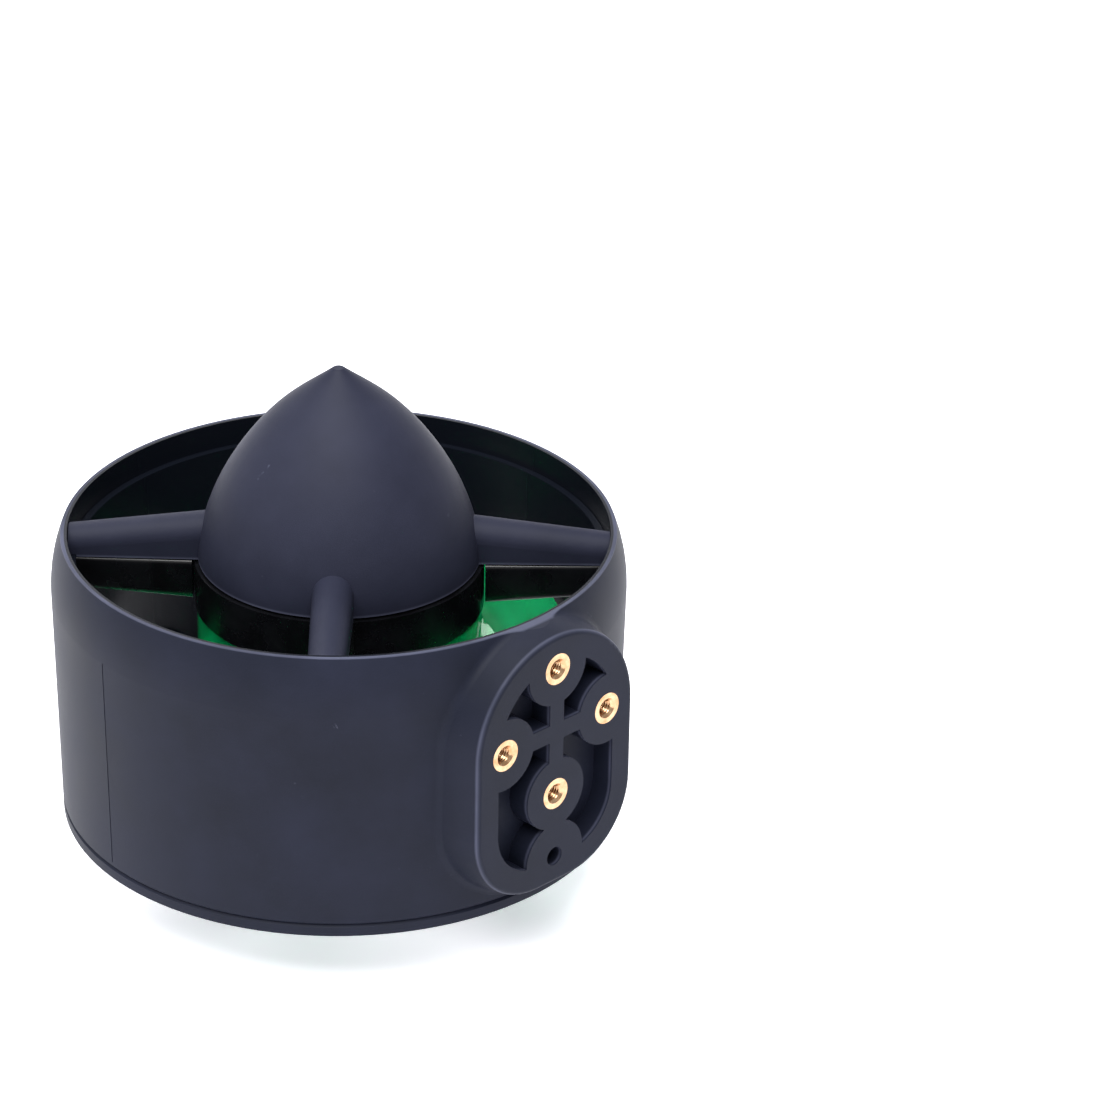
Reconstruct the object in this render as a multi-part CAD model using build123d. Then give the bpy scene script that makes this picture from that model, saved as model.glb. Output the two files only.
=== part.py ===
from build123d import *
import math
import os

# Ducted underwater thruster, modelled nose up, in millimetres.
# +Z is the thrust axis and points out of the nose. The origin is on that axis, at the flat end of
# the tail, which the thruster stands on. The mounting foot faces -Y.

# Duct
throat_radius = 42.0  # clear bore round the propeller, which every other size of the duct follows
tail_height = 11.0  # the duct's rear edge above the flat end of the tail
duct_length = 48.5
duct_wall = 4.1  # at the duct's widest place
duct_rear_wall = 3.3
duct_front_wall = 2.3
duct_shoulder_drop = 9.5  # the widest place of the duct below its front edge
duct_shoulder_hold = 5.0  # how far up the shoulder the outer wall's direction is held
guard_seat_step = 1.3  # how much wider the front guard's seat is than the throat
guard_seat_depth = 7.0
rear_flare_step = 1.6
rear_flare_length = 4.0
rear_bead_height = 1.6
rear_bead_depth = 0.35
parting_line_depth = 0.15  # fine groove that the mould leaves along the duct's outside
parting_line_width = 0.2
parting_line_start = 175.0  # degrees about the thrust axis; the other one is opposite
parting_line_count = 2

# Mounting foot
foot_half_width = 16.6
foot_corner_radius = 13.2
foot_bottom_height = 4.4  # above the duct's rear edge
foot_draft = 9.0  # degrees, so the foot widens towards the duct
foot_edge_round = 0.8
foot_root_round = 1.6  # where the foot's sides meet the duct
foot_rim_gap = 0.5  # the foot's top stays this far below the duct's front edge
insert_spacing_radius = 11.0  # of the circle that the four inserts lie on
insert_radius = 2.6
insert_bore_radius = 1.25
insert_length = 5.0
insert_lead_in = 0.4
insert_groove_depth = 0.3
insert_groove_width = 0.9
insert_hole_spare = 0.8  # blind hole below the insert
insert_hole_floor = 0.6  # wall left between that hole and the guard's seat
pocket_depth = 4.0
pocket_wall = 4.2
pocket_corner = 0.6
foot_boss_radius = 6.1
foot_rib_width = 3.0

# Rear frame and its posts
hub_step = 0.8  # how much wider the motor housing is than the rotor's collar
hub_rear_rise = 3.0  # its rear end above the duct's rear edge
hub_length = 14.6
hub_wall = 3.0
hub_edge = 0.6
post_above_foot = 4.7  # the posts' axes above the bottom of the foot
post_radius = 2.75
post_boss_radius = 3.8
post_boss_length = 2.4
post_socket_depth = 3.0
post_count = 4
frame_flange_width = 5.5
frame_flange_thickness = 2.5
frame_boss_radius = 2.9
motor_base_thickness = 2.6
motor_base_sunk = 0.4  # the motor base lies this far below the frame's front edge

# Screw that holds the foot-side post
post_screw_radius = 1.0
post_screw_hole_radius = 1.6
post_screw_head_radius = 1.5
post_screw_head_height = 1.2
post_screw_length = 9.0
post_screw_seat = 4.8  # below the foot's face
screw_socket_width = 0.55  # of every screw head, as a share of its radius
screw_socket_depth = 0.6  # as a share of the head's height

# Tail cap
tail_flat_radius = 12.5
tail_side_hold = 8.0  # lengths of the handles that shape the dome's curve
tail_flat_hold = 6.5
tail_floor = 2.6
tail_wall = 2.2
tail_spigot_length = 2.6
tail_spigot_wall = 1.8
tail_screw_inset = 2.4  # the screws' axes inside the housing's bore
tail_screw_count = 4
tail_screw_start = 0.0  # degrees, so that the screws stand clear of the gland
tail_screw_radius = 1.0
tail_screw_head_radius = 1.9
tail_screw_head_height = 1.3
tail_screw_seat = 5.0  # above the flat end
tail_screw_reach = 6.0  # how far the screws run into the housing
tail_screw_hole_spare = 0.15

# Front guard
nose_step = 0.6  # how much narrower the nose is than the rotor's collar behind it
nose_height = 32.6
nose_wall = 1.8
nose_tip_radius = 0.9
nose_tip_wall = 5.4
strut_count = 4
strut_start = 45.0
strut_hub_width = 6.6
strut_rim_width = 5.8
strut_hub_height = 7.2
strut_rim_height = 4.3
strut_inset = 3.6  # how far a strut runs into the nose
guard_ring_height = 2.3  # from the ring's seat to the struts' flat undersides
guard_ring_rise = 0.3  # the ring's top above the undersides

# Rotor
running_gap = 0.4
collar_step = 1.7  # how much wider the collar is than the can
collar_length = 7.6
collar_web = 2.4
can_radius = 21.5
can_wall = 1.5
can_plate = 3.0
can_flange_step = 1.1
can_flange_thickness = 0.8
can_vent_radius = 2.4
can_vent_spacing_radius = 11.0
can_vent_count = 6
can_vent_start = 30.0
propeller_hub_wall = 1.3
slip_gap = 0.1  # between pieces that slide together
blade_count = 5
blade_tip_gap = 1.0  # between the blades and the throat
blade_root_half = 10.6  # half the blade's width seen along the axis, at the hub
blade_tip_half = 5.0
blade_pitch = 90.0  # advance in one turn, right-handed seen from the nose
blade_drop = 1.9  # the blades' middle behind the middle of their sleeve
blade_root_thickness = 2.2
blade_tip_thickness = 1.2
blade_edge_thickness = 0.5
blade_root_sunk = 3.5  # how far the blade's first section starts inside the sleeve
blade_phase = 65.0  # degrees, resting turn of the propeller about the axis
blade_stations = 4
magnet_count = 14
magnet_thickness = 1.5
magnet_length = 15.0
magnet_share = 0.84
air_gap = 0.5
collar_screw_count = 4
collar_screw_inset = 5.0  # the screws' axes inside the can's outside
collar_screw_radius = 1.0
collar_screw_head_radius = 1.9
collar_screw_head_height = 1.2
collar_screw_length = 3.6
nut_across_flats = 7.0
nut_height = 3.0
shaft_thread_spare = 0.8
shaft_radius = 2.0
shaft_collar_radius = 4.0
shaft_collar_length = 1.6
shaft_collar_gap = 0.3
shaft_rear_spare = 0.6
washer_radius = 3.4
washer_thickness = 0.4

# Stator, its base and the bearings
stator_length = 12.0
stator_clearance = 3.2  # the core above the motor base
stator_teeth = 12
stator_yoke = 2.6
tooth_width = 2.6
tooth_tip_height = 1.0
tooth_tip_gap = 1.5
winding_overhang = 2.0
winding_thickness = 1.25
winding_yoke_gap = 2.0  # between a coil and the yoke, so that neighbours stay clear of each other
winding_tip_gap = 0.6
bearing_tube_radius = 6.0
bearing_radius = 5.0
bearing_width = 4.0
bearing_bore_shoulder = 3.6
bearing_gap = 0.04  # running fit on the shaft
rear_boss_radius = 7.0
rear_boss_length = 4.4
base_wire_hole_radius = 2.6
base_wire_hole_reach = 11.0  # of the hole's axis from the thrust axis
base_wire_hole_angle = 0.0
base_screw_count = 4
base_screw_start = 45.0
base_screw_inset = 2.7  # the screws' axes inside the housing's bore
base_screw_radius = 1.25
base_screw_head_radius = 2.2
base_screw_head_height = 1.6
base_screw_length = 4.6

# Lead, its gland and its plug
lead_radius = 1.1
lead_angle = 45.0  # direction about the thrust axis in which the lead leaves the tail
gland_height = 5.0  # of the gland's axis above the flat end
gland_inner = 16.5  # distances of the gland's ends and of its taper's start from the thrust axis
gland_shoulder = 23.4
gland_outer = 30.0
gland_radius = 2.2
gland_tip_radius = 1.6
gland_groove_count = 3
gland_groove_depth = 0.3
gland_groove_width = 0.7
coil_distance = 63.5  # from the thrust axis to the coil's middle
coil_middle_radius = 12.0
coil_layers = 2
coil_rings = 3  # turns side by side in each layer
tie_angle = -30.0
tie_width = 3.0
tie_thickness = 0.5
plug_radius = 2.8
plug_boot_length = 5.0
plug_grip_length = 7.0
plug_shell_radius = 2.3
plug_shell_length = 4.5
plug_shell_wall = 0.45
plug_boot_radius = 1.6
plug_pin_count = 3
plug_pin_spacing_radius = 1.1
plug_pin_radius = 0.35

# Worked out from the sizes above
duct_max_radius = throat_radius + duct_wall
duct_rear_radius = throat_radius + duct_rear_wall
duct_front_radius = throat_radius + duct_front_wall
duct_rear = tail_height
duct_front = tail_height + duct_length
duct_shoulder = duct_front - duct_shoulder_drop
guard_seat = duct_front - guard_seat_depth
guard_seat_radius = throat_radius + guard_seat_step
guard_reach = guard_seat_radius - slip_gap
rear_flare_radius = throat_radius + rear_flare_step
insert_hole_depth = insert_length + insert_hole_spare
foot_face_distance = guard_seat_radius + insert_hole_floor + insert_hole_depth
foot_top_centre = duct_front - foot_rim_gap - foot_half_width
collar_radius = can_radius + collar_step
hub_radius = collar_radius + hub_step
hub_bore = hub_radius - hub_wall
hub_rear = duct_rear + hub_rear_rise
hub_front = hub_rear + hub_length
frame_flange_bore = hub_bore - frame_flange_width
post_height = duct_rear + foot_bottom_height + post_above_foot
post_reach = throat_radius - post_boss_length + post_socket_depth
base_screw_spacing_radius = hub_bore - base_screw_inset
tail_screw_spacing_radius = hub_bore - tail_screw_inset
tail_screw_length = hub_rear + tail_screw_reach - tail_screw_seat
nose_base = guard_seat + guard_ring_height
nose_radius = collar_radius - nose_step
nose_tip = nose_base + nose_height
collar_top = nose_base - running_gap
collar_rear = collar_top - collar_length
collar_screw_spacing_radius = can_radius - collar_screw_inset
collar_screw_seat = collar_top - collar_screw_head_height
can_top = collar_top - collar_web
can_rear = hub_front + running_gap
can_plate_rear = can_top - can_plate
can_bore = can_radius - can_wall
can_flange_radius = can_radius + can_flange_step
propeller_front = collar_rear
propeller_rear = can_rear + can_flange_thickness
propeller_bore = can_radius + slip_gap
propeller_hub_radius = propeller_bore + propeller_hub_wall
blade_tip_radius = throat_radius - blade_tip_gap
motor_base_front = hub_front - motor_base_sunk
motor_base_rear = motor_base_front - motor_base_thickness
flange_rear = motor_base_rear - frame_flange_thickness
stator_rear = motor_base_front + stator_clearance
stator_front = stator_rear + stator_length
stator_middle = (stator_rear + stator_front) / 2
stator_radius = can_bore - magnet_thickness - air_gap
yoke_radius = bearing_tube_radius + stator_yoke
tooth_tip_inner = stator_radius - tooth_tip_height
winding_inner = yoke_radius + winding_yoke_gap
winding_outer = tooth_tip_inner - winding_tip_gap
washer_rear = can_plate_rear - washer_thickness
bearing_tube_front = washer_rear - slip_gap
rear_boss_end = motor_base_rear - rear_boss_length
shaft_collar_front = rear_boss_end - shaft_collar_gap
shaft_rear = shaft_collar_front - shaft_collar_length - shaft_rear_spare
shaft_front = collar_top + nut_height + shaft_thread_spare
coil_half_width = coil_rings * lead_radius
coil_height = 2 * coil_layers * lead_radius
plug_grip_end = plug_boot_length + plug_grip_length
plug_length = plug_grip_end + plug_shell_length

FROM_BOTTOM = (Align.CENTER, Align.CENTER, Align.MIN)
FOOT_PLANE = Plane.XZ.offset(foot_face_distance)
FOOT_INWARD = Plane((0, -foot_face_distance, 0), x_dir=(-1, 0, 0), z_dir=(0, 1, 0))
LEAD_SIDE = Rot(0, 0, lead_angle)


def polar(radius, angle, height=0.0):
    """Place at this radius and angle in degrees about the thrust axis."""
    turn = math.radians(angle)
    return Pos(radius * math.cos(turn), radius * math.sin(turn), height)


def spaced(count, first=0.0):
    """Angles of count equal steps round the axis."""
    return [first + 360.0 * k / count for k in range(count)]


def disc(radius, bottom, top):
    """Cylinder about the thrust axis."""
    return Pos(0, 0, bottom) * Cylinder(radius, top - bottom, align=FROM_BOTTOM)


def ring(outer, inner, bottom, top):
    """Tube about the thrust axis."""
    return disc(outer, bottom, top) - disc(inner, bottom, top)


def turned(points, curves=()):
    """Solid turned about the thrust axis: straight lines between (radius, height) points, then
    the given curves, which together close the profile."""
    lines = [Line((*a, 0), (*b, 0)) for a, b in zip(points, points[1:])]
    profile = make_face([*lines, *curves])
    return revolve(Plane.XZ * profile, Axis.Z)


def screw(place, radius, length, head_radius, head_height):
    """Cap screw: the head's underside is at the place, and the shank goes along its Z axis."""
    shank = Cylinder(radius, length, align=FROM_BOTTOM)
    head = Pos(0, 0, -head_height) * Cylinder(head_radius, head_height, align=FROM_BOTTOM)
    outline = RegularPolygon(head_radius * screw_socket_width, 6)
    socket = extrude(outline, head_height * screw_socket_depth)
    return place * (shank + head - Pos(0, 0, -head_height) * socket)


def foot_outline(inset=0.0):
    """Outline of the foot as a flat sketch: round top, straight sides, narrower round bottom."""
    half = foot_half_width - inset
    corner = foot_corner_radius - inset
    bottom = duct_rear + foot_bottom_height + inset
    flat = half - corner
    diagonal = corner * math.sqrt(0.5)
    side = bottom + corner
    return make_face([
        ThreePointArc((half, foot_top_centre), (0, foot_top_centre + half), (-half, foot_top_centre)),
        Line((-half, foot_top_centre), (-half, side)),
        ThreePointArc((-half, side), (-flat - diagonal, side - diagonal), (-flat, bottom)),
        Line((-flat, bottom), (flat, bottom)),
        ThreePointArc((flat, bottom), (flat + diagonal, side - diagonal), (half, side)),
        Line((half, side), (half, foot_top_centre)),
    ])


def insert_places():
    """Centres of the four inserts on the foot's face, as X and Z."""
    out = insert_spacing_radius
    return [(x, foot_top_centre + z) for x, z in ((0, out), (out, 0), (0, -out), (-out, 0))]


def foot_pockets():
    """Sketch of the four pockets: the inset outline less the bosses and the cross of ribs."""
    pockets = foot_outline(pocket_wall)
    for x, z in [*insert_places(), (0, post_height)]:
        pockets -= Pos(x, z) * Circle(foot_boss_radius)
    long = 4 * foot_half_width
    pockets -= Pos(0, foot_top_centre) * Rectangle(foot_rib_width, long)
    pockets -= Pos(0, foot_top_centre) * Rectangle(long, foot_rib_width)
    return Sketch() + [fillet(face.vertices(), pocket_corner) for face in pockets.faces()]


def foot_root_edges(body):
    """Edges where the foot's sides meet the duct's outside."""
    found = []
    for edge in body.edges():
        middle = edge.center()
        out = math.hypot(middle.X, middle.Y)
        near_duct = duct_front_radius - slip_gap < out < duct_max_radius + slip_gap
        beside_foot = middle.Y < 0 and abs(middle.X) < foot_half_width + foot_edge_round + guard_seat_step
        if near_duct and beside_foot and edge.geom_type not in (GeomType.LINE, GeomType.CIRCLE):
            found.append(edge)
    return found


def parting_groove(angle):
    """Sliver that cuts the mould's line into the duct's outside, from the bead to the shoulder."""
    low = duct_rear + rear_bead_height + 4 * rear_bead_depth
    high = duct_shoulder
    lean = duct_max_radius - duct_rear_radius
    low_radius = duct_rear_radius + lean * (low - duct_rear) / (duct_shoulder - duct_rear)
    depth = parting_line_depth
    outline = make_face(Polyline(
        (low_radius - depth, 0, low),
        (low_radius + depth, 0, low),
        (duct_max_radius + depth, 0, high),
        (duct_max_radius - depth, 0, high),
        close=True,
    ))
    return Rot(0, 0, angle) * extrude(outline, parting_line_width / 2, dir=(0, 1, 0), both=True)


def make_duct():
    """The duct with its foot, post sockets and the seat of the front guard."""
    shoulder_end = duct_shoulder + duct_shoulder_hold
    over_radius = 2 * duct_front_radius - duct_max_radius
    over = 2 * duct_front - shoulder_end
    body = turned(
        [
            (duct_front_radius, duct_front),
            (over_radius, over),
            (0, over),
            (0, duct_rear),
            (duct_rear_radius, duct_rear),
            (duct_max_radius, duct_shoulder),
        ],
        [Bezier(
            (duct_max_radius, duct_shoulder),
            (duct_max_radius, shoulder_end),
            (duct_front_radius, duct_front),
        )],
    )
    foot = extrude(FOOT_INWARD * foot_outline(), foot_face_distance - throat_radius, taper=-foot_draft)
    foot = fillet(foot.edges().group_by(Axis.Y)[0], foot_edge_round)
    body += foot
    body = fillet(foot_root_edges(body), foot_root_round)
    body -= disc(2 * duct_max_radius, duct_front, 2 * duct_front)
    bead = duct_rear + rear_bead_height + rear_bead_depth
    body -= turned([
        (duct_rear_radius - rear_bead_depth, bead),
        (duct_rear_radius + rear_bead_depth, bead + 2 * rear_bead_depth),
        (duct_rear_radius + rear_bead_depth, bead - 2 * rear_bead_depth),
        (duct_rear_radius - rear_bead_depth, bead),
    ])
    for angle in spaced(parting_line_count, parting_line_start):
        body -= parting_groove(angle)
    body -= turned([
        (0, duct_rear),
        (rear_flare_radius, duct_rear),
        (throat_radius, duct_rear + rear_flare_length),
        (throat_radius, guard_seat),
        (guard_seat_radius, guard_seat),
        (guard_seat_radius, duct_front),
        (0, duct_front),
        (0, duct_rear),
    ])
    outward = Pos(0, 0, post_height) * Rot(0, 90, 0)
    boss_length = post_boss_length + duct_rear_wall / 2
    for angle in spaced(post_count):
        boss = Cylinder(post_boss_radius, boss_length, align=FROM_BOTTOM)
        body += Rot(0, 0, angle) * outward * Pos(0, 0, throat_radius - post_boss_length) * boss
        socket = Cylinder(post_radius + slip_gap / 2, post_reach, align=FROM_BOTTOM)
        body -= Rot(0, 0, angle) * outward * socket
    body -= extrude(FOOT_PLANE * foot_pockets(), -pocket_depth)
    for x, z in insert_places():
        hole = FOOT_PLANE * Pos(x, z) * Circle(insert_radius)
        body -= extrude(hole, -insert_hole_depth)
    screw_place = FOOT_PLANE * Pos(0, post_height)
    body -= extrude(screw_place * Circle(post_screw_hole_radius), -post_screw_seat)
    body -= extrude(screw_place * Circle(post_screw_radius), -foot_face_distance + hub_radius)
    return body


def make_insert(x, z):
    """Brass insert with a lead-in, a bore for an M3 screw and a groove round its middle."""
    outer = insert_radius
    inner = insert_bore_radius
    middle = insert_length / 2
    half_groove = insert_groove_width / 2
    body = turned([
        (inner + insert_lead_in, 0),
        (outer, 0),
        (outer, -middle + half_groove),
        (outer - insert_groove_depth, -middle + half_groove),
        (outer - insert_groove_depth, -middle - half_groove),
        (outer, -middle - half_groove),
        (outer, -insert_length),
        (inner, -insert_length),
        (inner, -insert_lead_in),
        (inner + insert_lead_in, 0),
    ])
    return FOOT_PLANE * Pos(x, z) * body


def make_rear_frame():
    """Motor housing cup with four round posts, an inner flange and the tail cap's screw bosses."""
    cup = ring(hub_radius, hub_bore, hub_rear, hub_front)
    cup = chamfer(cup.edges().group_by(Axis.Z)[-1].sort_by(SortBy.RADIUS)[-1], hub_edge)
    cup += ring(hub_bore, frame_flange_bore, flange_rear, motor_base_rear)
    start = hub_radius - hub_wall / 2
    for angle in spaced(post_count):
        post = Pos(0, 0, start) * Cylinder(post_radius, post_reach - start, align=FROM_BOTTOM)
        cup += Rot(0, 0, angle) * Pos(0, 0, post_height) * Rot(0, 90, 0) * post
    boss_rear = hub_rear + tail_spigot_length + slip_gap
    for angle in spaced(tail_screw_count, tail_screw_start):
        boss = Cylinder(frame_boss_radius, flange_rear - boss_rear, align=FROM_BOTTOM)
        cup += polar(tail_screw_spacing_radius, angle, boss_rear) * boss
    for angle in spaced(tail_screw_count, tail_screw_start):
        length = tail_screw_seat + tail_screw_length - hub_rear
        hole = Cylinder(tail_screw_radius, length, align=FROM_BOTTOM)
        cup -= polar(tail_screw_spacing_radius, angle, hub_rear) * hole
    for angle in spaced(base_screw_count, base_screw_start):
        hole = Cylinder(base_screw_radius, frame_flange_thickness, align=FROM_BOTTOM)
        cup -= polar(base_screw_spacing_radius, angle, flange_rear) * hole
    depth = post_reach - (foot_face_distance - post_screw_seat - post_screw_length)
    pilot = Pos(0, 0, post_reach - depth) * Cylinder(post_screw_radius, depth, align=FROM_BOTTOM)
    cup -= Rot(0, 0, -90) * Pos(0, 0, post_height) * Rot(0, 90, 0) * pilot
    return cup


def make_post_screw():
    """Screw through the foot into the end of the post behind it."""
    seat = FOOT_PLANE * Pos(0, post_height, -post_screw_seat) * Rot(180, 0, 0)
    return screw(
        seat, post_screw_radius, post_screw_length, post_screw_head_radius, post_screw_head_height
    )


def along_gland(radius, start, end):
    """Cylinder on the gland's axis between two distances from the thrust axis."""
    body = Pos(0, 0, start) * Cylinder(radius, end - start, align=FROM_BOTTOM)
    return LEAD_SIDE * Pos(0, 0, gland_height) * Rot(0, 90, 0) * body


def make_gland():
    """Rubber strain relief, tapered and grooved, through the wall of the tail cap."""
    body = turned([
        (0, gland_inner),
        (gland_radius, gland_inner),
        (gland_radius, gland_shoulder),
        (gland_tip_radius, gland_outer),
        (0, gland_outer),
        (0, gland_inner),
    ])
    step = (gland_outer - gland_shoulder) / (gland_groove_count + 1)
    for k in range(gland_groove_count):
        rear = gland_shoulder + (k + 1) * step - gland_groove_width / 2
        share = (k + 1) / (gland_groove_count + 1)
        outside = gland_radius + share * (gland_tip_radius - gland_radius)
        band = ring(gland_radius, outside - gland_groove_depth, rear, rear + gland_groove_width)
        body -= band
    return LEAD_SIDE * Pos(0, 0, gland_height) * Rot(0, 90, 0) * body


def dome_curve(radius, flat_radius, floor):
    """Curve of the tail from its joint with the hub, straight down at first, level at the flat."""
    return Bezier(
        (radius, hub_rear),
        (radius, hub_rear - tail_side_hold),
        (flat_radius + tail_flat_hold, floor),
        (flat_radius, floor),
    )


def make_tail_cap():
    """Domed cap that closes the motor housing, with a spigot, screw pillars and the gland's hole."""
    dome = dome_curve(hub_radius, tail_flat_radius, 0)
    outside = turned(
        [(tail_flat_radius, 0), (0, 0), (0, hub_rear), (hub_radius, hub_rear)], [dome]
    )
    spigot = hub_bore - slip_gap / 2
    inner = spigot - tail_spigot_wall
    hollow_end = hub_rear + tail_spigot_length
    outside += disc(spigot, hub_rear, hollow_end)
    floor_radius = tail_flat_radius - tail_wall / 2
    hollow = dome_curve(inner, floor_radius, tail_floor)
    body = outside - turned(
        [
            (floor_radius, tail_floor),
            (0, tail_floor),
            (0, hollow_end),
            (inner, hollow_end),
            (inner, hub_rear),
        ],
        [hollow],
    )
    for angle in spaced(tail_screw_count, tail_screw_start):
        pillar = Cylinder(frame_boss_radius, hollow_end, align=FROM_BOTTOM)
        body += polar(tail_screw_spacing_radius, angle) * pillar & outside
    for angle in spaced(tail_screw_count, tail_screw_start):
        hole = Cylinder(tail_screw_radius + tail_screw_hole_spare, hollow_end, align=FROM_BOTTOM)
        body -= polar(tail_screw_spacing_radius, angle) * hole
        head = Cylinder(tail_screw_head_radius + tail_screw_hole_spare, tail_screw_seat, align=FROM_BOTTOM)
        body -= polar(tail_screw_spacing_radius, angle) * head
    return body - along_gland(gland_radius, gland_inner, gland_outer)


def nose_profile(radius, base, top, tip):
    """Curve of the nose from its widest place to its tip, with a slightly straight flank."""
    height = top - base
    shares = ((0.2, 0.952), (0.4, 0.838), (0.6, 0.66), (0.8, 0.405))
    middle = [(radius * width, base + height * rise) for rise, width in shares]
    return Spline(
        (radius, base), *middle, (tip, top), tangents=[(0, 1), (-1.25, 1)], tangent_scalars=[1, 1]
    )


def strut_section(distance, width, height):
    """Section of a strut across its length: flat underside, straight flanks, round top."""
    place = Plane(origin=(distance, 0, nose_base), x_dir=(0, 1, 0), z_dir=(1, 0, 0))
    half = width / 2
    return place * make_face([
        Line((-half, 0), (half, 0)),
        Line((half, 0), (half, height - half)),
        ThreePointArc((half, height - half), (0, height), (-half, height - half)),
        Line((-half, height - half), (-half, 0)),
    ])


def make_front_guard():
    """Nose cone on four struts, with the thin ring that seats in the duct."""
    body = turned(
        [(nose_tip_radius, nose_tip), (0, nose_tip), (0, nose_base), (nose_radius, nose_base)],
        [nose_profile(nose_radius, nose_base, nose_tip, nose_tip_radius)],
    )
    arm = loft([
        strut_section(nose_radius - strut_inset, strut_hub_width, strut_hub_height),
        strut_section(guard_seat_radius, strut_rim_width, strut_rim_height),
    ])
    for angle in spaced(strut_count, strut_start):
        body += Rot(0, 0, angle) * arm
    body += ring(guard_seat_radius, throat_radius, guard_seat, nose_base + guard_ring_rise)
    body = body & disc(guard_reach, guard_seat, nose_tip)
    inner_top = nose_tip - nose_tip_wall
    body -= turned(
        [
            (nose_tip_radius, inner_top),
            (0, inner_top),
            (0, nose_base),
            (nose_radius - nose_wall, nose_base),
        ],
        [nose_profile(nose_radius - nose_wall, nose_base, inner_top, nose_tip_radius)],
    )
    return body


def make_motor_base():
    """Plate with the tube that carries the stator and both bearings."""
    body = disc(hub_bore - slip_gap / 2, motor_base_rear, motor_base_front)
    body += disc(bearing_tube_radius, motor_base_front, bearing_tube_front)
    body += disc(rear_boss_radius, rear_boss_end, motor_base_rear)
    body -= disc(bearing_bore_shoulder, rear_boss_end, bearing_tube_front)
    body -= disc(bearing_radius, bearing_tube_front - bearing_width, bearing_tube_front)
    body -= disc(bearing_radius, rear_boss_end, rear_boss_end + bearing_width)
    for angle in spaced(base_screw_count, base_screw_start):
        hole = Cylinder(base_screw_radius, motor_base_thickness, align=FROM_BOTTOM)
        body -= polar(base_screw_spacing_radius, angle, motor_base_rear) * hole
    wires = Cylinder(base_wire_hole_radius, motor_base_thickness, align=FROM_BOTTOM)
    return body - polar(base_wire_hole_reach, base_wire_hole_angle, motor_base_rear) * wires


def make_bearing(rear):
    """Bearing as one ring, with its running fit on the shaft."""
    return ring(bearing_radius, shaft_radius + bearing_gap, rear, rear + bearing_width)


def make_stator_core():
    """Laminated core: yoke, teeth and tooth tips."""
    body = ring(yoke_radius, bearing_tube_radius, stator_rear, stator_front)
    tooth_length = stator_radius - yoke_radius
    tips = ring(stator_radius, tooth_tip_inner, stator_rear, stator_front)
    for angle in spaced(stator_teeth):
        tooth = Box(tooth_length, tooth_width, stator_length)
        out = yoke_radius + tooth_length / 2 - tooth_tip_height / 2
        body += Rot(0, 0, angle) * Pos(out, 0, stator_middle) * tooth
        slot = Box(4 * tooth_tip_height, tooth_tip_gap, stator_length)
        half_step = 180.0 / stator_teeth
        tips -= Rot(0, 0, angle + half_step) * Pos(stator_radius, 0, stator_middle) * slot
    return body + tips


def make_windings():
    """One closed coil round each tooth."""
    length = winding_outer - winding_inner
    width = tooth_width + 2 * winding_thickness
    height = stator_length + 2 * winding_overhang
    coil = Box(length, width, height)
    coil = fillet(coil.edges().filter_by(Axis.X), winding_thickness)
    coil -= Box(length, tooth_width, stator_length)
    place = Pos(winding_inner + length / 2, 0, stator_middle)
    return [Rot(0, 0, angle) * place * coil for angle in spaced(stator_teeth)]


def make_rotor_can():
    """Motor bell: wall, front plate with vents and a narrow rear flange behind the propeller."""
    body = disc(can_radius, can_rear, can_top) - disc(can_bore, can_rear, can_plate_rear)
    body += ring(can_flange_radius, can_bore, can_rear, propeller_rear)
    body -= disc(shaft_radius, can_plate_rear, can_top)
    for angle in spaced(can_vent_count, can_vent_start):
        hole = Cylinder(can_vent_radius, can_plate, align=FROM_BOTTOM)
        body -= polar(can_vent_spacing_radius, angle, can_plate_rear) * hole
    for angle in spaced(collar_screw_count):
        hole = Cylinder(collar_screw_radius, can_plate, align=FROM_BOTTOM)
        body -= polar(collar_screw_spacing_radius, angle, can_plate_rear) * hole
    return body


def make_magnets():
    """Separate arc magnets inside the can's wall."""
    rear = stator_middle - magnet_length / 2
    band = ring(can_bore, can_bore - magnet_thickness, rear, rear + magnet_length)
    half_angle = math.radians(180.0 / magnet_count * magnet_share)
    x = 2 * can_bore * math.cos(half_angle)
    y = 2 * can_bore * math.sin(half_angle)
    outline = make_face(Polyline((0, 0), (x, -y), (x, y), close=True))
    magnet = band & extrude(Pos(0, 0, rear) * outline, magnet_length)
    return [Rot(0, 0, angle) * magnet for angle in spaced(magnet_count)]


def make_hub_collar():
    """Smooth collar behind the nose, screwed to the can, which traps the propeller."""
    body = disc(collar_radius, collar_rear, collar_top) - disc(propeller_bore, collar_rear, can_top)
    body -= disc(shaft_radius + slip_gap, can_top, collar_top)
    for angle in spaced(collar_screw_count):
        hole = Cylinder(collar_screw_radius, collar_web, align=FROM_BOTTOM)
        body -= polar(collar_screw_spacing_radius, angle, can_top) * hole
        head = Cylinder(collar_screw_head_radius, collar_screw_head_height, align=FROM_BOTTOM)
        body -= polar(collar_screw_spacing_radius, angle, collar_screw_seat) * head
    return body


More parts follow.
